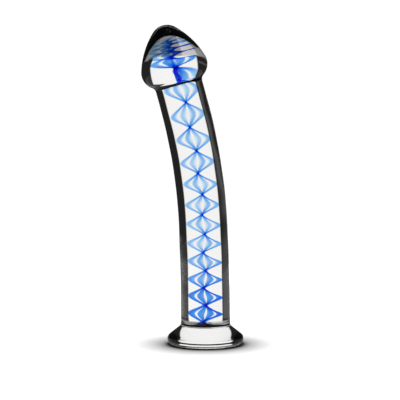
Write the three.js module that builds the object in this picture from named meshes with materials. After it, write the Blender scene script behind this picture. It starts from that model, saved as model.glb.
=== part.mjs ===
// A solid glass wand with a flared foot, a gently bent round shaft and a bulbous head.
// A flat ribbon of blue and white glass canes lies between two clear half-round bars, and this core
// is twisted, cased in clear glass, capped by the head and set on the foot. Units are millimetres.
// +Z is up and the foot stands on z = 0, centred on the origin. The shaft leans towards -X.
import * as THREE from 'three';

// Driving dimensions
const TOTAL_LENGTH = 175; // along the centreline, from the foot's face to the tip
const SHAFT_RADIUS = 13.35; // at its lower end, above the flare
const NECK_RADIUS = 12.9; // the shaft tapers to this at the neck
const CORE_RADIUS = 6.8; // of the twisted core inside the casing
const RIBBON_THICKNESS = 1;
const WHITE_WIDTH = 0.9; // of each white thread across the ribbon
const WHITE_SPACING = 3.5; // from one white thread to the next
const SIDE_GAP = 0.3; // between fused neighbours side by side
const FACE_GAP = 0.5; // between the ribbon's faces and the clear bars

// Foot: a disc with a round rim and a cone-shaped top
const FOOT_HEIGHT = 10;
const FOOT_RADIUS = 20.75;
const FOOT_RIM_RADIUS = 3; // of the round rim's section
const FOOT_CONE_ANGLE = THREE.MathUtils.degToRad(38.5); // slope of the cone, which leaves the rim tangentially
const FOOT_SHOULDER_RADIUS = 14.3; // where the cone ends
const FOOT_SHOULDER_DROP = 0.43; // below the foot's top
const FOOT_TOP_RADIUS = 13.85; // the shaft flares to this where it meets the foot
const FLARE_HEIGHT = 2.6;

// Centreline above the foot: a slow bend, then the main bend, then straight into the head
const SLOW_BEND_RADIUS = 1150;
const SLOW_BEND_LENGTH = 56;
const MAIN_BEND_RADIUS = 295.5;
const HEAD_TILT = THREE.MathUtils.degToRad(15);

// Head: three arcs that run into each other, from the tip down to a fillet at the neck
const TIP_ARC_RADIUS = 9;
const FLANK_ARC_RADIUS = 43.5;
const BULGE_ARC_RADIUS = 8.8;
const NECK_FILLET_RADIUS = 3.5;
const TIP_TO_FLANK = THREE.MathUtils.degToRad(43.6); // the surface normal's angle from the head's axis
const FLANK_TO_BULGE = THREE.MathUtils.degToRad(73);

// Twist of the core, left-handed. A half turn lengthens up the shaft. In the head the rod's end was
// upset, so the core is wider there, its turns close up, and it tapers under the tip.
const HALF_TURN_AT_FOOT = 9.2; // length of a half turn at the foot's top
const HALF_TURN_GROWTH = 0.0131; // times the cube of the half turns made: what their growth adds to the height
const SHAFT_HALF_TURNS = 12.2; // they grow up to here, just above the neck
const HALF_TURN_IN_HEAD = 5.5; // length of the first one after that
const HEAD_SQUEEZE = 4.2; // half turns in the head over which their length falls to 1/e
const HEAD_HALF_TURNS = 6.3;
const FIRST_EDGE_ON = 0.218; // half turns from the foot's top to where the ribbon is edge on to the front
const CORE_START = 0.05; // half turns from the foot's top to the core's lower end
const HEAD_SWELL = 0.42; // how much wider the core gets in the head, as a share
const SWELL_END = 0.15; // where it is widest, as a share of the core's stretch in the head
const TAPER_START = 0.6; // where it starts to taper
const TAPER = 0.3; // how much narrower its end is than its widest place, as a share

const ROUND_SIDES = 24;
const STEPS_PER_HALF_TURN = 6;
const BEND_STEPS = 12;
const FLARE_STEPS = 3;
const ARC_STEPS = 6;
const BORE_STEPS = 9;
const FLAT_STEPS = 5; // across a core bar's flat face

// Lengths that follow, counted above the foot's top
const SLOW_BEND_ANGLE = SLOW_BEND_LENGTH / SLOW_BEND_RADIUS;
const MAIN_BEND_LENGTH = MAIN_BEND_RADIUS * (HEAD_TILT - SLOW_BEND_ANGLE);
const TIP = TOTAL_LENGTH - FOOT_HEIGHT;

const material = (color, roughness, opacity) =>
  new THREE.MeshStandardMaterial({ color, roughness, metalness: 0, opacity, transparent: opacity < 1 });
const CLEAR_GLASS = material(0xeef3f5, 0.03, 0.3);
const BLUE_GLASS = material(0x0b3fd0, 0.05, 0.8);
const WHITE_GLASS = material(0xf4f6f8, 0.15, 1);

// The centreline's point and tilt at a height along it above the foot's top
function centreline(along) {
  if (along <= SLOW_BEND_LENGTH) {
    const tilt = along / SLOW_BEND_RADIUS;
    return {
      x: -SLOW_BEND_RADIUS * (1 - Math.cos(tilt)),
      z: FOOT_HEIGHT + SLOW_BEND_RADIUS * Math.sin(tilt),
      tilt,
    };
  }
  const start = centreline(SLOW_BEND_LENGTH);
  const tilt = Math.min(HEAD_TILT, start.tilt + (along - SLOW_BEND_LENGTH) / MAIN_BEND_RADIUS);
  const straight = Math.max(0, along - SLOW_BEND_LENGTH - MAIN_BEND_LENGTH);
  return {
    x: start.x - MAIN_BEND_RADIUS * (Math.cos(start.tilt) - Math.cos(tilt)) - straight * Math.sin(tilt),
    z: start.z + MAIN_BEND_RADIUS * (Math.sin(tilt) - Math.sin(start.tilt)) + straight * Math.cos(tilt),
    tilt,
  };
}

// Moves each vertex of a straight piece, where z is the length along the rod, onto the bent centreline
function bend(geometry) {
  const at = geometry.getAttribute('position');
  for (let i = 0; i < at.count; i++) {
    const { x, z, tilt } = centreline(at.getZ(i));
    const across = at.getX(i);
    at.setXYZ(i, x + across * Math.cos(tilt), at.getY(i), z + across * Math.sin(tilt));
  }
  return geometry;
}

// Height above the foot's top of the core's section that has made a number of half turns
function heightAt(halfTurns) {
  const inShaft = Math.min(halfTurns, SHAFT_HALF_TURNS);
  const inHead = Math.max(halfTurns - SHAFT_HALF_TURNS, 0);
  const shaft = HALF_TURN_AT_FOOT * inShaft + HALF_TURN_GROWTH * inShaft ** 3;
  return shaft + HALF_TURN_IN_HEAD * HEAD_SQUEEZE * (1 - Math.exp(-inHead / HEAD_SQUEEZE));
}

// The core's width at a height, as a share of its width in the shaft
function coreScale(height) {
  const share = THREE.MathUtils.clamp((height - NECK) / (CORE_TOP - NECK), 0, 1);
  const swell = 1 + HEAD_SWELL * THREE.MathUtils.smoothstep(share, 0, SWELL_END);
  const taper = Math.max(0, (share - TAPER_START) / (1 - TAPER_START));
  return swell * (1 - TAPER * taper ** 2);
}

// Twists a straight piece of the core, where z counts half turns, and lays it along the centreline
function twist(geometry) {
  const at = geometry.getAttribute('position');
  for (let i = 0; i < at.count; i++) {
    const halfTurns = at.getZ(i);
    const height = heightAt(halfTurns);
    const angle = Math.PI * (0.5 + FIRST_EDGE_ON - halfTurns);
    const across = new THREE.Vector2(at.getX(i), at.getY(i)).multiplyScalar(coreScale(height));
    across.rotateAround(new THREE.Vector2(), angle);
    at.setXYZ(i, across.x, across.y, height);
  }
  return bend(geometry);
}

// A core piece: its flat outline drawn across the ribbon, twisted over the whole length of the core
function twistedPiece(outline) {
  const geometry = new THREE.ExtrudeGeometry(new THREE.Shape(outline), {
    depth: CORE_END - CORE_START,
    steps: Math.round((CORE_END - CORE_START) * STEPS_PER_HALF_TURN),
    bevelEnabled: false,
  });
  geometry.translate(0, 0, CORE_START);
  return twist(geometry);
}

// A lathe about Z from a profile of radius and height
const turned = (profile) => new THREE.LatheGeometry(profile, ROUND_SIDES).rotateX(Math.PI / 2);

// Points of an arc in a profile, from one angle to another
function arc(centre, radius, from, to, steps = ARC_STEPS) {
  return Array.from({ length: steps + 1 }, (_, i) => {
    const angle = from + ((to - from) * i) / steps;
    return new THREE.Vector2(centre.x + radius * Math.cos(angle), centre.y + radius * Math.sin(angle));
  });
}

// The head's outer profile from the neck to the tip, and the height of the neck
function headProfile() {
  const quarter = Math.PI / 2;
  const tipCentre = new THREE.Vector2(0, TIP - TIP_ARC_RADIUS);
  const along = (angle, length) => new THREE.Vector2(Math.sin(angle), Math.cos(angle)).multiplyScalar(length);
  const flankCentre = tipCentre.clone().add(along(TIP_TO_FLANK, TIP_ARC_RADIUS - FLANK_ARC_RADIUS));
  const bulgeCentre = flankCentre.clone().add(along(FLANK_TO_BULGE, FLANK_ARC_RADIUS - BULGE_ARC_RADIUS));
  const across = NECK_RADIUS + NECK_FILLET_RADIUS - bulgeCentre.x;
  const down = Math.sqrt((BULGE_ARC_RADIUS + NECK_FILLET_RADIUS) ** 2 - across ** 2);
  const filletCentre = new THREE.Vector2(NECK_RADIUS + NECK_FILLET_RADIUS, bulgeCentre.y - down);
  const tangent = Math.atan2(-down, across);
  return {
    neck: filletCentre.y,
    points: [
      ...arc(filletCentre, NECK_FILLET_RADIUS, Math.PI, tangent + Math.PI),
      ...arc(bulgeCentre, BULGE_ARC_RADIUS, tangent, quarter - FLANK_TO_BULGE).slice(1),
      ...arc(flankCentre, FLANK_ARC_RADIUS, quarter - FLANK_TO_BULGE, quarter - TIP_TO_FLANK).slice(1),
      ...arc(tipCentre, TIP_ARC_RADIUS, quarter - TIP_TO_FLANK, quarter).slice(1, -1),
      new THREE.Vector2(0, TIP),
    ],
  };
}
const HEAD = headProfile();
const NECK = HEAD.neck;
const CORE_END = SHAFT_HALF_TURNS + HEAD_HALF_TURNS;
const CORE_TOP = heightAt(CORE_END);

// The head: a solid gather of clear glass over the end of the core
function head() {
  const bore = [];
  for (let i = BORE_STEPS; i >= 0; i--) {
    const height = NECK + ((CORE_TOP + FACE_GAP - NECK) * i) / BORE_STEPS;
    bore.push(new THREE.Vector2(CORE_RADIUS * coreScale(height) + FACE_GAP, height));
  }
  return bend(turned([new THREE.Vector2(0, CORE_TOP + FACE_GAP), ...bore, ...HEAD.points]));
}

// The casing: a clear tube round the core, which flares into the foot and tapers to the neck
function shaftCasing() {
  const boreRadius = CORE_RADIUS + SIDE_GAP;
  const outer = [];
  const bore = [];
  for (let i = 0; i <= FLARE_STEPS + BEND_STEPS; i++) {
    const height =
      i < FLARE_STEPS
        ? SIDE_GAP + ((FLARE_HEIGHT - SIDE_GAP) * i) / FLARE_STEPS
        : FLARE_HEIGHT + ((NECK - SIDE_GAP - FLARE_HEIGHT) * (i - FLARE_STEPS)) / BEND_STEPS;
    const flare = (FOOT_TOP_RADIUS - SHAFT_RADIUS) * Math.max(0, 1 - height / FLARE_HEIGHT) ** 2;
    const radius = SHAFT_RADIUS + ((NECK_RADIUS - SHAFT_RADIUS) * height) / NECK + flare;
    outer.push(new THREE.Vector2(radius, height));
    bore.unshift(new THREE.Vector2(boreRadius, height));
  }
  return bend(turned([...outer, ...bore, outer[0]]));
}

// The foot: a flat face, a round rim and a cone that rises to the shaft
function foot() {
  const rimCentre = new THREE.Vector2(FOOT_RADIUS - FOOT_RIM_RADIUS, FOOT_RIM_RADIUS);
  return turned([
    new THREE.Vector2(0, 0),
    ...arc(rimCentre, FOOT_RIM_RADIUS, -Math.PI / 2, Math.PI / 2 - FOOT_CONE_ANGLE, 2 * ARC_STEPS),
    new THREE.Vector2(FOOT_SHOULDER_RADIUS, FOOT_HEIGHT - FOOT_SHOULDER_DROP),
    new THREE.Vector2(FOOT_TOP_RADIUS, FOOT_HEIGHT),
    new THREE.Vector2(0, FOOT_HEIGHT),
  ]);
}

// One cane of the ribbon, from its left to its right edge across the ribbon
function cane(left, right) {
  const half = RIBBON_THICKNESS / 2;
  return twistedPiece([
    new THREE.Vector2(left, -half),
    new THREE.Vector2(right, -half),
    new THREE.Vector2(right, half),
    new THREE.Vector2(left, half),
  ]);
}

// One of the two clear half-round bars that hold the ribbon between them
function coreBar(side) {
  const face = RIBBON_THICKNESS / 2 + FACE_GAP;
  const reach = Math.sqrt(CORE_RADIUS ** 2 - face ** 2);
  const start = Math.atan2(face, reach);
  const outline = arc(new THREE.Vector2(0, 0), CORE_RADIUS, start, Math.PI - start, ARC_STEPS);
  for (let i = 1; i < FLAT_STEPS; i++) {
    outline.push(new THREE.Vector2(-reach + (2 * reach * i) / FLAT_STEPS, face));
  }
  return twistedPiece(side > 0 ? outline : outline.map((p) => p.clone().negate()));
}

const part = new THREE.Group();
function add(name, geometry, look) {
  const mesh = new THREE.Mesh(geometry, look);
  mesh.name = name;
  part.add(mesh);
}

add('foot', foot(), CLEAR_GLASS);
add('shaft_casing', shaftCasing(), CLEAR_GLASS);
add('head', head(), CLEAR_GLASS);
add('core_bar_front', coreBar(-1), CLEAR_GLASS);
add('core_bar_back', coreBar(1), CLEAR_GLASS);

// Across the ribbon: blue, white, blue, white, blue, white, blue
const whites = [-WHITE_SPACING, 0, WHITE_SPACING];
whites.forEach((middle, i) => {
  add(`white_thread_${i + 1}`, cane(middle - WHITE_WIDTH / 2, middle + WHITE_WIDTH / 2), WHITE_GLASS);
});
const besideWhite = WHITE_WIDTH / 2 + SIDE_GAP;
const blueEdges = [-CORE_RADIUS + SIDE_GAP, ...whites.flatMap((w) => [w - besideWhite, w + besideWhite])];
blueEdges.push(CORE_RADIUS - SIDE_GAP);
for (let i = 0; i < blueEdges.length; i += 2) {
  add(`blue_cane_${i / 2 + 1}`, cane(blueEdges[i], blueEdges[i + 1]), BLUE_GLASS);
}

export default part;
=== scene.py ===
"""Looks for a solid glass piece: a bent clear rod with a twisted blue and white ribbon inside.

Lengths in the geometry are millimetres, and they become metres when a mesh is made. A height is
measured along the rod's centreline from the foot's top, and the rod bends towards -X. A place on the
ribbon is given flat: how far it lies from the ribbon's middle.
"""
import math

import bpy
import numpy as np
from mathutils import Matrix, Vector


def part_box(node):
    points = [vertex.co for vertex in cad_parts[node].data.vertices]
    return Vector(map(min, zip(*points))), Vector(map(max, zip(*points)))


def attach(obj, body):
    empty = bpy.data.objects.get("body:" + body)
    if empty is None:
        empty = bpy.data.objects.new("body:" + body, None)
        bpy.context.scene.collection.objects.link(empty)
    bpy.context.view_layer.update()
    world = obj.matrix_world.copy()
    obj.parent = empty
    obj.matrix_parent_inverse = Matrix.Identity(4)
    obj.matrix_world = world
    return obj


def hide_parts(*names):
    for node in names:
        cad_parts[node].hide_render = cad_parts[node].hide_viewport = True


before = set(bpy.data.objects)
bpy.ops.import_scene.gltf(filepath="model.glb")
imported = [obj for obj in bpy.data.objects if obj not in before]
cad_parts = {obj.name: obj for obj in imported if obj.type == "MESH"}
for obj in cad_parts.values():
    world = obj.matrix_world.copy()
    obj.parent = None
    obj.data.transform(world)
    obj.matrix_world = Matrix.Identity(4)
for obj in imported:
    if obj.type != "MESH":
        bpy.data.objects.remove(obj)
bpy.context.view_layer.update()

MM = 0.001

# Sizes that the frame gives
FOOT_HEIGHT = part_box("foot")[1].z / MM
FOOT_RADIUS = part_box("foot")[1].x / MM

# Centreline: a slow bend, the main bend, then straight into the head
TOTAL_LENGTH = 175.0
SLOW_BEND_RADIUS = 1150.0
SLOW_BEND_LENGTH = 56.0
MAIN_BEND_RADIUS = 295.5
HEAD_TILT = math.radians(15)
SLOW_BEND_ANGLE = SLOW_BEND_LENGTH / SLOW_BEND_RADIUS
MAIN_BEND_LENGTH = MAIN_BEND_RADIUS * (HEAD_TILT - SLOW_BEND_ANGLE)
TIP = TOTAL_LENGTH - FOOT_HEIGHT

# Shaft: it tapers to the neck and flares out into the foot
SHAFT_RADIUS = 13.35
NECK_RADIUS = 12.9
FOOT_TOP_RADIUS = 13.85
FLARE_HEIGHT = 2.6

# Head: arcs of these radii from the tip to the neck, and the normal's angle where they meet
TIP_ARC_RADIUS = 9.0
FLANK_ARC_RADIUS = 43.5
BULGE_ARC_RADIUS = 8.8
NECK_FILLET_RADIUS = 3.5
TIP_TO_FLANK = math.radians(43.6)
FLANK_TO_BULGE = math.radians(73)

# Foot: a flat base, a round rim and a cone up to the shaft
FOOT_BASE_RING = 8.0
FOOT_RIM_RADIUS = 3.0
FOOT_CONE_ANGLE = math.radians(38.5)
FOOT_SHOULDER_RADIUS = 14.3
FOOT_SHOULDER_DROP = 0.43

# Twisted core: half turns get longer up the shaft, and shorter again once the head begins
HALF_TURN_AT_FOOT = 9.2
HALF_TURN_GROWTH = 0.0131
SHAFT_HALF_TURNS = 12.2
HALF_TURN_IN_HEAD = 5.5
HEAD_SQUEEZE = 4.2
HEAD_HALF_TURNS = 6.3
CORE_END = SHAFT_HALF_TURNS + HEAD_HALF_TURNS
CORE_START = 0.05
CORE_DRIFT = 0.5  # how far the core has moved to the outside of the bend at the neck

# Places where the ribbon is edge on to the front, in half turns
FIRST_EDGE_ON = 0.218
HEAD_EDGE_ON = 12 + FIRST_EDGE_ON

# The core swells as it enters the head, and tapers towards its end (shares of its length there)
HEAD_SWELL = 0.42
SWELL_END = 0.15
TAPER_START = 0.6
TAPER = 0.3

# It turns more slowly where it is edge on: how far it gets ahead and behind there, in radians
LINGER_IN_SHAFT = 0.2
LINGER_IN_HEAD = 0.1
LINGER_FADE = 4  # half turns below the head over which one becomes the other

# Ribbon
RIBBON_HALF_WIDTH = 6.5
RIBBON_OFFSET = 0.35  # how far the ribbon's plane lies from the axis it turns about
RIBBON_BOW = 0.3  # how far its two edges bow out of that plane, to opposite sides
BOW_REACH = 2.2  # the angle of the bow's sine wave at the ribbon's edges, in radians
WHITE_SPACING = 3.5
WHITE_HALF_WIDTH = 0.42
CANE_GAP = 0.03

# Canes: a thin sheet, with what is added to it near the foot and in the head
SHEET = 0.14
SHEET_AT_FOOT = 0.3
SHEET_IN_HEAD = 0.8
FOOT_END = 22.0  # how high the thick end near the foot reaches
HEAD_GATHER = 8.0  # how far above the neck the sheet is at its thickest

# Each cane's ridge: its place on the ribbon, then its rise in the shaft and at the foot
RIDGE_WIDTH = 1.0
BLUE_RIDGES = ((-5.6, 1.05, 1.5), (-2.1, 0.6, 0.4), (2.1, 0.95, 0.6), (5.4, 1.0, 1.5))
WHITE_RISE = 0.4

# In the head the ribbon has a thick spine, and its middle thread is pinched
GATHER_START = 1.0  # how far below the neck both begin
SPINE = 1.8
SPINE_WIDTH = 0.6
SPINE_EASE = 4.0
PINCH = 1.5
PINCH_EASE = 3.0

# Just above the neck one half of the ribbon lags behind the other, folded up
FOLD_WIDTH = 0.8  # how quickly the lagging half parts from the other, across the ribbon
FOLD_LENGTH = 1.2  # half turns for which that half stays folded up
FOLD_EASE = 0.25
FOLD_THICKNESS = 1.25

# Waves in the surface: size, reach along the rod per radian, how many go round it, and phase
WAVES = ((0.030, 5.3, 2, 0.0), (0.022, 2.9, -1, 1.3), (0.018, 8.7, 3, 0.4))
WAVE_FADE = 8.0  # they die out this far from the neck and the foot

ROUND_SIDES = 160
RING_SPACING = 1.0
RINGS_PER_HALF_TURN = 24


# ---------------------------------------------------------------- geometry


def centreline(height):
    """Points (x, z) of the centreline and its tilt at heights, which may be an array."""
    height = np.asarray(height, float)
    below = np.minimum(height, 0)
    first = np.clip(height, 0, SLOW_BEND_LENGTH) / SLOW_BEND_RADIUS
    main = np.clip(height - SLOW_BEND_LENGTH, 0, MAIN_BEND_LENGTH)
    straight = np.maximum(height - SLOW_BEND_LENGTH - MAIN_BEND_LENGTH, 0)
    tilt = first + main / MAIN_BEND_RADIUS
    x = -SLOW_BEND_RADIUS * (1 - np.cos(first)) - MAIN_BEND_RADIUS * (np.cos(first) - np.cos(tilt))
    z = SLOW_BEND_RADIUS * np.sin(first) + MAIN_BEND_RADIUS * (np.sin(tilt) - np.sin(first))
    return x - straight * np.sin(tilt), FOOT_HEIGHT + below + z + straight * np.cos(tilt), tilt


def bent(across, depth, height):
    """Vertices in metres for points given across the rod, through it and along it."""
    x, z, tilt = centreline(height)
    return np.stack([x + across * np.cos(tilt), depth + 0 * x, z + across * np.sin(tilt)], -1) * MM


def arc(centre, radius, start, end, steps):
    """Points of an arc in a profile of (radius, height)."""
    angles = np.linspace(start, end, steps + 1)
    return [(centre[0] + radius * math.cos(a), centre[1] + radius * math.sin(a)) for a in angles]


def head_profile():
    """The head's outline from the neck up to the tip, as (radius, height)."""
    tip = np.array([0.0, TIP - TIP_ARC_RADIUS])
    to_flank = np.array([math.sin(TIP_TO_FLANK), math.cos(TIP_TO_FLANK)])
    to_bulge = np.array([math.sin(FLANK_TO_BULGE), math.cos(FLANK_TO_BULGE)])
    flank = tip + (TIP_ARC_RADIUS - FLANK_ARC_RADIUS) * to_flank
    bulge = flank + (FLANK_ARC_RADIUS - BULGE_ARC_RADIUS) * to_bulge
    across = NECK_RADIUS + NECK_FILLET_RADIUS - bulge[0]
    down = math.sqrt((BULGE_ARC_RADIUS + NECK_FILLET_RADIUS) ** 2 - across**2)
    fillet = (NECK_RADIUS + NECK_FILLET_RADIUS, bulge[1] - down)
    tangent = math.atan2(-down, across)
    quarter = math.pi / 2
    return (
        arc(fillet, NECK_FILLET_RADIUS, math.pi, tangent + math.pi, 12)
        + arc(bulge, BULGE_ARC_RADIUS, tangent, quarter - FLANK_TO_BULGE, 24)[1:]
        + arc(flank, FLANK_ARC_RADIUS, quarter - FLANK_TO_BULGE, quarter - TIP_TO_FLANK, 24)[1:]
        + arc(tip, TIP_ARC_RADIUS, quarter - TIP_TO_FLANK, quarter, 16)[1:-1]
        + [(0.0, TIP)]
    )


HEAD_PROFILE = head_profile()
NECK = HEAD_PROFILE[0][1]


def height_at(half_turns):
    """Height of the core's section that has made a number of half turns."""
    in_shaft = np.minimum(half_turns, SHAFT_HALF_TURNS)
    in_head = np.maximum(half_turns - SHAFT_HALF_TURNS, 0)
    shaft = HALF_TURN_AT_FOOT * in_shaft + HALF_TURN_GROWTH * in_shaft**3
    return shaft + HALF_TURN_IN_HEAD * HEAD_SQUEEZE * (1 - np.exp(-in_head / HEAD_SQUEEZE))


CORE_TOP = float(height_at(CORE_END))


def core_scale(height):
    """The core's width at a height, as a share of its width in the shaft."""
    share = np.clip((height - NECK) / (CORE_TOP - NECK), 0, 1)
    rise = np.clip(share / SWELL_END, 0, 1)
    taper = np.maximum(0, (share - TAPER_START) / (1 - TAPER_START))
    return (1 + HEAD_SWELL * rise * rise * (3 - 2 * rise)) * (1 - TAPER * taper**2)


def shaft_radius(height):
    """The shaft's radius: a slow taper, and a flare at the foot."""
    flare = (FOOT_TOP_RADIUS - SHAFT_RADIUS) * np.clip(1 - height / FLARE_HEIGHT, 0, 1) ** 2
    return SHAFT_RADIUS + (NECK_RADIUS - SHAFT_RADIUS) * height / NECK + flare


def waviness(height, turn):
    """How far the hand-worked surface stands off its true round, in mm."""
    waves = (size * np.sin(height / reach + rounds * turn + phase) for size, reach, rounds, phase in WAVES)
    return sum(waves)


def make_piece(name, vertices, faces, slots, materials, sharp_over=50):
    """A smooth-shaded mesh object from vertices in metres, with edges over an angle left sharp."""
    mesh = bpy.data.meshes.new(name)
    mesh.from_pydata([tuple(v) for v in vertices], [], faces)
    for material in materials:
        mesh.materials.append(material)
    mesh.polygons.foreach_set("material_index", slots)
    mesh.polygons.foreach_set("use_smooth", [True] * len(faces))
    mesh.set_sharp_from_angle(angle=math.radians(sharp_over))
    mesh.validate()
    mesh.update()
    piece = bpy.data.objects.new(name, mesh)
    bpy.context.scene.collection.objects.link(piece)
    return piece


def turned_piece(name, profile, materials, joint_edges, wavy=True):
    """A solid of revolution about the bent centreline, from a profile that starts and ends on it.

    joint_edges are the profile's edges that face a fused neighbour: they get the second material.
    """
    radii = np.array([p[0] for p in profile[1:-1]])
    heights = np.array([p[1] for p in profile[1:-1]])
    turns = np.arange(ROUND_SIDES) * 2 * math.pi / ROUND_SIDES
    r, turn = np.meshgrid(radii, turns, indexing="ij")
    h = np.repeat(heights[:, None], ROUND_SIDES, 1)
    if wavy:
        fade = np.clip(h / WAVE_FADE, 0, 1) * np.clip((NECK - h) / WAVE_FADE, 0, 1)
        r = r + fade * waviness(h, turn)
    rings = bent(r * np.cos(turn), r * np.sin(turn), h).reshape(-1, 3)
    poles = [bent(np.array(0.0), np.array(0.0), np.array(profile[i][1])) for i in (0, -1)]
    vertices = list(rings) + poles
    first_pole = len(rings)
    last_pole = len(rings) + 1
    top = (len(radii) - 1) * ROUND_SIDES
    faces = []
    slots = []
    for j in range(ROUND_SIDES):
        k = (j + 1) % ROUND_SIDES
        faces.append((first_pole, k, j))
        slots.append(int(0 in joint_edges))
        faces.append((last_pole, top + j, top + k))
        slots.append(int(len(profile) - 2 in joint_edges))
    for i in range(len(radii) - 1):
        a = i * ROUND_SIDES
        b = a + ROUND_SIDES
        for j in range(ROUND_SIDES):
            k = (j + 1) % ROUND_SIDES
            faces.append((a + j, a + k, b + k, b + j))
            slots.append(int(i + 1 in joint_edges))
    return make_piece(name, vertices, faces, slots, materials)


def cane_outline(left, right, points=14):
    """A flat cane's section with round edges, as (flat, share of the thickness), anticlockwise."""
    share = (1 - np.cos(np.linspace(0, math.pi, points))) / 2
    flat = left + (right - left) * share
    half = np.sqrt(np.clip(1 - (2 * share - 1) ** 8, 0, 1)) / 2
    lower = list(zip(flat, -half))
    upper = list(zip(flat[-2:0:-1], half[-2:0:-1]))
    return np.array(lower + upper)


def cane_thickness(flat, height, ridge):
    """A cane is a thin sheet with one ridge, given by its place and its rise in the shaft and at the foot.

    It is thick at the foot, drawn thin up the shaft, and gathered again in the head.
    """
    at_foot = np.exp(-((height / FOOT_END) ** 3))
    in_head = np.clip((height - NECK) / HEAD_GATHER, 0, 1)
    sheet = SHEET + SHEET_AT_FOOT * at_foot + SHEET_IN_HEAD * in_head
    place, rise, rise_at_foot = ridge
    rise = rise + (rise_at_foot - rise) * at_foot
    return sheet + rise * np.exp(-(((flat - place) / RIDGE_WIDTH) ** 2))


def spine_thickness(flat, height):
    """In the head the ribbon's middle is a thick rib, which shows as a deep blue column."""
    in_head = np.clip((height - NECK + GATHER_START) / SPINE_EASE, 0, 1)
    return SPINE * in_head * np.exp(-((flat / SPINE_WIDTH) ** 2))


def pinched(flat, height):
    """In the head the middle thread is pinched, and the canes beside it close up over it."""
    in_head = np.clip((height - NECK + GATHER_START) / PINCH_EASE, 0, 1)
    size = np.abs(flat) + 0 * height
    return np.sign(flat) * np.where(size < 1, size ** (1 + PINCH * in_head), size)


def lag(half_turns):
    """How far one half of the ribbon stays behind in the head, in half turns.

    It stays edge on for one half turn, swings out and back in the next, and then is in step again.
    """
    share = np.clip(half_turns - HEAD_EDGE_ON, 0, 2)
    swing = np.sin(math.pi * np.clip(share - 1, 0, 1)) ** 2
    return share + 0.5 * swing


def folded(half_turns):
    """How much of the lagging half is folded up into a thick column, from 0 to 1."""
    begins = np.clip((half_turns - HEAD_EDGE_ON) / FOLD_EASE, 0, 1)
    ends = np.clip((HEAD_EDGE_ON + FOLD_LENGTH - half_turns) / FOLD_EASE, 0, 1)
    return begins * ends


def turn_angle(half_turns, flat):
    """The angle of each place on the ribbon about the core's axis."""
    in_shaft = np.clip((HEAD_EDGE_ON - half_turns) / LINGER_FADE, 0, 1)
    reach = LINGER_IN_HEAD + (LINGER_IN_SHAFT - LINGER_IN_HEAD) * in_shaft
    since_edge_on = half_turns - FIRST_EDGE_ON
    angle = math.pi * (0.5 - since_edge_on) + reach * np.sin(2 * math.pi * since_edge_on)
    return angle + math.pi * lag(half_turns) * np.clip(-flat / FOLD_WIDTH, 0, 1)


def twisted_piece(name, outline, material, ridge):
    """A section of the ribbon swept along the core."""
    rings = int(round((CORE_END - CORE_START) * RINGS_PER_HALF_TURN)) + 1
    half_turns = np.linspace(CORE_START, CORE_END, rings)[:, None]
    height = height_at(half_turns)
    scale = core_scale(height)
    flat = outline[None, :, 0]
    across = pinched(flat, height) * scale
    thickness = cane_thickness(flat, height, ridge) + spine_thickness(flat, height)
    thickness = thickness + folded(half_turns) * (flat < 0) * (FOLD_THICKNESS - thickness)
    bow = RIBBON_BOW * np.sin(BOW_REACH * flat / RIBBON_HALF_WIDTH)
    through = (outline[None, :, 1] * thickness + bow) * scale + RIBBON_OFFSET
    angle = turn_angle(half_turns, flat)
    drift = CORE_DRIFT * height / NECK
    side = drift + across * np.cos(angle) - through * np.sin(angle)
    depth = across * np.sin(angle) + through * np.cos(angle)
    vertices = bent(side, depth, height + 0 * across).reshape(-1, 3)
    sides = outline.shape[0]
    faces = [tuple(reversed(range(sides))), tuple((rings - 1) * sides + j for j in range(sides))]
    for i in range(rings - 1):
        a = i * sides
        b = a + sides
        for j in range(sides):
            k = (j + 1) % sides
            faces.append((a + j, a + k, b + k, b + j))
    return make_piece(name, vertices, faces, [0] * len(faces), [material], sharp_over=70)


# --------------------------------------------------------------- materials


def new_material(name):
    """A material, its node tree, its shader and its output."""
    material = bpy.data.materials.new(name)
    material.use_nodes = True
    nodes = material.node_tree.nodes
    return material, material.node_tree, nodes["Principled BSDF"], nodes["Material Output"]


def clear_glass():
    """Colourless fire-polished glass, with faint streaks of slightly rougher skin."""
    material, tree, shader, _ = new_material("clear_glass")
    shader.inputs["Base Color"].default_value = (0.985, 0.992, 0.99, 1)
    shader.inputs["Transmission Weight"].default_value = 1.0
    shader.inputs["IOR"].default_value = 1.47
    noise = tree.nodes.new("ShaderNodeTexNoise")
    noise.inputs["Scale"].default_value = 60.0
    noise.inputs["Detail"].default_value = 4.0
    skin = tree.nodes.new("ShaderNodeMapRange")
    skin.inputs["From Min"].default_value = 0.55
    skin.inputs["From Max"].default_value = 0.9
    skin.inputs["To Min"].default_value = 0.0
    skin.inputs["To Max"].default_value = 0.004
    tree.links.new(noise.outputs["Fac"], skin.inputs["Value"])
    tree.links.new(skin.outputs["Result"], shader.inputs["Roughness"])
    return material


def fused_joint():
    """Where two pieces of glass are melted together there is no surface to see."""
    material, tree, shader, output = new_material("fused_joint")
    tree.nodes.remove(shader)
    clear = tree.nodes.new("ShaderNodeBsdfTransparent")
    tree.links.new(clear.outputs["BSDF"], output.inputs["Surface"])
    return material


BLUE_PASSED = (0.0, 0.53, 0.953, 1)  # red is absorbed the most, blue hardly at all
BLUE_DENSITY = 1200.0  # per metre
BLUE_STAIN = (0.2, 0.5, 0.92, 1)
STAIN_BEGINS = 0.062  # heights in metres between which the stain sets in, going down
STAIN_FULL = 0.022


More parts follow.
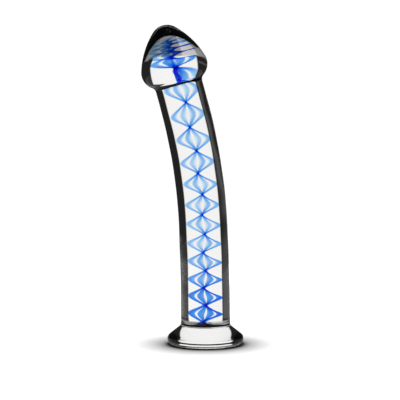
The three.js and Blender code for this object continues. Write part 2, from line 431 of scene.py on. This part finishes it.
def blue_glass():
    """Transparent cobalt blue: the colour comes from how far light runs through it.

    Its skin is stained as well near the foot, where the pattern is deepest.
    """
    material, tree, shader, output = new_material("blue_glass")
    shader.inputs["Transmission Weight"].default_value = 1.0
    shader.inputs["Roughness"].default_value = 0.0
    shader.inputs["IOR"].default_value = 1.0
    place = tree.nodes.new("ShaderNodeTexCoord")
    split = tree.nodes.new("ShaderNodeSeparateXYZ")
    stain = tree.nodes.new("ShaderNodeMapRange")
    stain.interpolation_type = "SMOOTHSTEP"
    stain.inputs["From Min"].default_value = STAIN_BEGINS
    stain.inputs["From Max"].default_value = STAIN_FULL
    tint = tree.nodes.new("ShaderNodeMix")
    tint.data_type = "RGBA"
    tint.inputs["A"].default_value = (1, 1, 1, 1)
    tint.inputs["B"].default_value = BLUE_STAIN
    tree.links.new(place.outputs["Object"], split.inputs[0])
    tree.links.new(split.outputs["Z"], stain.inputs["Value"])
    tree.links.new(stain.outputs["Result"], tint.inputs["Factor"])
    tree.links.new(tint.outputs["Result"], shader.inputs["Base Color"])
    depth = tree.nodes.new("ShaderNodeVolumeAbsorption")
    depth.inputs["Color"].default_value = BLUE_PASSED
    depth.inputs["Density"].default_value = BLUE_DENSITY
    tree.links.new(depth.outputs["Volume"], output.inputs["Volume"])
    return material


def white_glass():
    """Opal thread: most light passes through it and some scatters back."""
    material, tree, shader, _ = new_material("white_glass")
    shader.inputs["Base Color"].default_value = (1, 1, 1, 1)
    shader.inputs["Transmission Weight"].default_value = 0.97
    shader.inputs["Roughness"].default_value = 0.0
    shader.inputs["IOR"].default_value = 1.0
    return material


# ------------------------------------------------------------------ pieces

CLEAR = clear_glass()
JOINT = fused_joint()
BLUE = blue_glass()
WHITE = white_glass()


def stand_for(piece, slot, *nodes):
    """Attaches a finished piece to the root body and hides the frame's parts that it stands for."""
    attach(piece, "root")
    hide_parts(*nodes)


def make_foot():
    """The flared foot, fused to the shaft at its top."""
    rim = (FOOT_RADIUS - FOOT_RIM_RADIUS, FOOT_RIM_RADIUS - FOOT_HEIGHT)
    shoulder = (FOOT_SHOULDER_RADIUS, -FOOT_SHOULDER_DROP)
    outer = arc(rim, FOOT_RIM_RADIUS, -math.pi / 2, math.pi / 2 - FOOT_CONE_ANGLE, 32)
    cone = [tuple(p) for p in np.linspace(outer[-1], shoulder, 13)[1:]]
    base = [(0.0, -FOOT_HEIGHT), (FOOT_BASE_RING, -FOOT_HEIGHT)]
    profile = base + outer + cone + [(FOOT_TOP_RADIUS, 0.0), (0.0, 0.0)]
    foot = turned_piece("foot_glass", profile, [CLEAR, JOINT], {len(profile) - 2}, wavy=False)
    stand_for(foot, "clear_glass", "foot")


def make_shaft():
    """The shaft. The core's two clear bars are melted into it, so it stands for them too."""
    flare = np.linspace(0, FLARE_HEIGHT, 9)[:-1]
    heights = np.append(flare, np.linspace(FLARE_HEIGHT, NECK, int(NECK / RING_SPACING) + 1))
    profile = [(0.0, 0.0)] + [(shaft_radius(h), h) for h in heights] + [(0.0, NECK)]
    shaft = turned_piece("shaft_glass", profile, [CLEAR, JOINT], {0, len(profile) - 2})
    stand_for(shaft, "clear_glass", "shaft_casing", "core_bar_front", "core_bar_back")


def make_head():
    """The head, fused to the shaft at the neck."""
    profile = [(0.0, NECK)] + HEAD_PROFILE
    head = turned_piece("head_glass", profile, [CLEAR, JOINT], {0})
    stand_for(head, "clear_glass", "head")


def make_ribbon():
    """Three white threads, with a blue cane beside each and between them."""
    whites = (-WHITE_SPACING, 0.0, WHITE_SPACING)
    edges = [-RIBBON_HALF_WIDTH]
    for i, middle in enumerate(whites, 1):
        outline = cane_outline(middle - WHITE_HALF_WIDTH, middle + WHITE_HALF_WIDTH)
        ridge = (middle, WHITE_RISE, WHITE_RISE)
        thread = twisted_piece(f"white_thread_glass_{i}", outline, WHITE, ridge)
        stand_for(thread, "white_glass", f"white_thread_{i}")
        edges.append(middle - WHITE_HALF_WIDTH - CANE_GAP)
        edges.append(middle + WHITE_HALF_WIDTH + CANE_GAP)
    edges.append(RIBBON_HALF_WIDTH)
    for i, ridge in enumerate(BLUE_RIDGES):
        outline = cane_outline(edges[2 * i], edges[2 * i + 1])
        cane = twisted_piece(f"blue_cane_glass_{i + 1}", outline, BLUE, ridge)
        stand_for(cane, "blue_glass", f"blue_cane_{i + 1}")


make_foot()
make_shaft()
make_head()
make_ribbon()


# ------------------------------------------------- floor, lights and camera


FLOOR = -0.0002  # clear of the foot, so that its polished bottom mirrors the studio
FLOOR_RADIUS = 0.45
FLOOR_SIDES = 96
FLOOR_WHITE = 0.85
FLOOR_PAINTED_REFLECTION = 0.3  # painted reflection: the grey the floor glows with for glossy rays, so the glass mirrors it this bright
# Painted contact shadow: ambient occlusion within this reach, raised to this power, darkens the floor's
# colour
PAINTED_SHADOW_REACH = 0.03
PAINTED_SHADOW_DEPTH = 4.0


def make_floor():
    """A round white table top that glass doesn't show through, so that only the studio is seen through it.

    Its white has a painted contact shadow: an ambient occlusion node darkens its colour close to the foot.
    Glossy rays see it as a painted reflection, a fixed grey glow.
    """
    angles = np.arange(FLOOR_SIDES) * 2 * math.pi / FLOOR_SIDES
    vertices = [(FLOOR_RADIUS * math.cos(a), FLOOR_RADIUS * math.sin(a), FLOOR) for a in angles]
    mesh = bpy.data.meshes.new("floor")
    mesh.from_pydata(vertices, [], [tuple(range(FLOOR_SIDES))])
    floor = bpy.data.objects.new("floor", mesh)
    bpy.context.scene.collection.objects.link(floor)
    material, tree, shader, output = new_material("floor_white_painted_shadow_and_reflection")
    shader.inputs["Roughness"].default_value = 0.8
    # Painted contact shadow: ambient occlusion darkens the floor's base colour near the foot
    near = tree.nodes.new("ShaderNodeAmbientOcclusion")
    near.inputs["Distance"].default_value = PAINTED_SHADOW_REACH
    near.inputs["Color"].default_value = (1, 1, 1, 1)
    contact = tree.nodes.new("ShaderNodeMath")
    contact.operation = "POWER"
    contact.inputs[1].default_value = PAINTED_SHADOW_DEPTH
    painted_shadow_colour = tree.nodes.new("ShaderNodeMapRange")
    painted_shadow_colour.inputs["To Max"].default_value = FLOOR_WHITE
    tree.links.new(near.outputs["AO"], contact.inputs[0])
    tree.links.new(contact.outputs[0], painted_shadow_colour.inputs["Value"])
    tree.links.new(painted_shadow_colour.outputs["Result"], shader.inputs["Base Color"])
    # Painted reflection: to glossy rays the floor is a fixed grey glow, not a lit surface
    painted_reflection_glow = tree.nodes.new("ShaderNodeEmission")
    painted_reflection_glow.inputs["Color"].default_value = (FLOOR_PAINTED_REFLECTION, FLOOR_PAINTED_REFLECTION, FLOOR_PAINTED_REFLECTION, 1)
    path = tree.nodes.new("ShaderNodeLightPath")
    mix = tree.nodes.new("ShaderNodeMixShader")
    tree.links.new(path.outputs["Is Glossy Ray"], mix.inputs["Fac"])
    tree.links.new(shader.outputs["BSDF"], mix.inputs[1])
    tree.links.new(painted_reflection_glow.outputs["Emission"], mix.inputs[2])
    tree.links.new(mix.outputs["Shader"], output.inputs["Surface"])
    mesh.materials.append(material)
    floor.visible_transmission = False


def make_sun():
    """A very soft overhead light for the floor. Its faint real shadow is deepened by the floor's painted
    contact shadow.
    """
    light = bpy.data.lights.new("overhead", "SUN")
    light.energy = 4.0
    light.angle = math.radians(110)
    lamp = bpy.data.objects.new("overhead", light)
    lamp.visible_glossy = False
    lamp.visible_transmission = False
    bpy.context.scene.collection.objects.link(lamp)


# Studio panels: azimuth of the middle (0 is +Y, 90 is +X), half width, lowest and highest elevation,
# all in degrees, then brightness. Between them the studio is dark, which draws the glass's edges.
PANELS = (
    (0, 31, -16, 26, 0.97),
    (0, 34, -60, -16, 0.3),
    (-45, 36, -60, -16, 0.3),
    (50, 16, -60, -16, 0.3),
    (-98, 24, -16, 25, 0.9),
    (-54, 20, -9.5, -7.6, 0.09),
    (135, 33, -40, -6, 0.9),
)
EDGE = 1.5  # softness of a panel's edge, in degrees
DARK = 0.015
AMBIENT = 0.35  # what lights the floor
REFLECTED = 0.03  # what the glass's skin mirrors
BACKDROP = 1.05  # the white that the camera sees
STUDIO_TINT = (1.0, 0.985, 0.98, 1)


def make_world():
    """A white surround for the camera. Glass sees a dark studio with soft white panels in it."""
    world = bpy.data.worlds.new("studio")
    bpy.context.scene.world = world
    world.use_nodes = True
    tree = world.node_tree
    tree.nodes.clear()

    def feed(socket, value):
        if isinstance(value, (int, float)):
            socket.default_value = value
        else:
            tree.links.new(value, socket)

    def maths(operation, a, b):
        node = tree.nodes.new("ShaderNodeMath")
        node.operation = operation
        feed(node.inputs[0], a)
        feed(node.inputs[1], b)
        return node.outputs[0]

    def step(value, low, high):
        node = tree.nodes.new("ShaderNodeMapRange")
        node.interpolation_type = "SMOOTHSTEP"
        node.inputs["From Min"].default_value = low
        node.inputs["From Max"].default_value = high
        tree.links.new(value, node.inputs["Value"])
        return node.outputs["Result"]

    def mixed(share, first, second):
        node = tree.nodes.new("ShaderNodeMix")
        feed(node.inputs[0], share)
        feed(node.inputs[2], first)
        feed(node.inputs[3], second)
        return node.outputs[0]

    def background(colour, strength):
        node = tree.nodes.new("ShaderNodeBackground")
        node.inputs["Color"].default_value = colour
        feed(node.inputs["Strength"], strength)
        return node.outputs["Background"]

    place = tree.nodes.new("ShaderNodeTexCoord")
    split = tree.nodes.new("ShaderNodeSeparateXYZ")
    tree.links.new(place.outputs["Generated"], split.inputs[0])
    x, y, z = split.outputs
    level = maths("SQRT", maths("ADD", maths("MULTIPLY", x, x), maths("MULTIPLY", y, y)), 0.0)
    panels = DARK
    for azimuth, half_width, low, high, brightness in PANELS:
        turn = math.radians(azimuth)
        along = maths("ADD", maths("MULTIPLY", x, math.sin(turn)), maths("MULTIPLY", y, math.cos(turn)))
        outer = math.cos(math.radians(half_width + EDGE))
        inner = math.cos(math.radians(half_width - EDGE))
        inside = step(maths("DIVIDE", along, level), outer, inner)
        above = step(z, math.sin(math.radians(low - EDGE)), math.sin(math.radians(low + EDGE)))
        below = step(z, math.sin(math.radians(high + EDGE)), math.sin(math.radians(high - EDGE)))
        mask = maths("MULTIPLY", inside, maths("MULTIPLY", above, below))
        panels = maths("ADD", panels, maths("MULTIPLY", mask, brightness))

    path = tree.nodes.new("ShaderNodeLightPath")
    other = mixed(path.outputs["Is Glossy Ray"], AMBIENT, REFLECTED)
    seen = mixed(path.outputs["Is Transmission Ray"], other, panels)
    mix = tree.nodes.new("ShaderNodeMixShader")
    tree.links.new(path.outputs["Is Camera Ray"], mix.inputs["Fac"])
    tree.links.new(background(STUDIO_TINT, seen), mix.inputs[1])
    tree.links.new(background((1, 1, 1, 1), BACKDROP), mix.inputs[2])
    output = tree.nodes.new("ShaderNodeOutputWorld")
    tree.links.new(mix.outputs["Shader"], output.inputs["Surface"])


CAMERA_DISTANCE = 0.75
CAMERA_HEIGHT = 0.125
AIM = Vector((-0.003, 0.0, 0.0784))
FRAME_HEIGHT = 0.2168  # what the picture's height covers at the object


def make_camera():
    """A long lens, level with the upper shaft and looking a little down."""
    data = bpy.data.cameras.new("camera")
    camera = bpy.data.objects.new("camera", data)
    bpy.context.scene.collection.objects.link(camera)
    camera.location = (AIM.x, -CAMERA_DISTANCE, CAMERA_HEIGHT)
    line = AIM - camera.location
    camera.rotation_euler = line.to_track_quat("-Z", "Y").to_euler()
    data.sensor_width = 36.0
    data.lens = data.sensor_width * line.length / FRAME_HEIGHT
    bpy.context.scene.camera = camera


make_floor()
make_sun()
make_world()
make_camera()

# Light passes many skins of glass, but more than one mirror bounce inside it only adds bright specks
scene = bpy.context.scene
scene.view_settings.view_transform = "Standard"
scene.cycles.max_bounces = 32
scene.cycles.transmission_bounces = 32
scene.cycles.transparent_max_bounces = 32
scene.cycles.glossy_bounces = 1
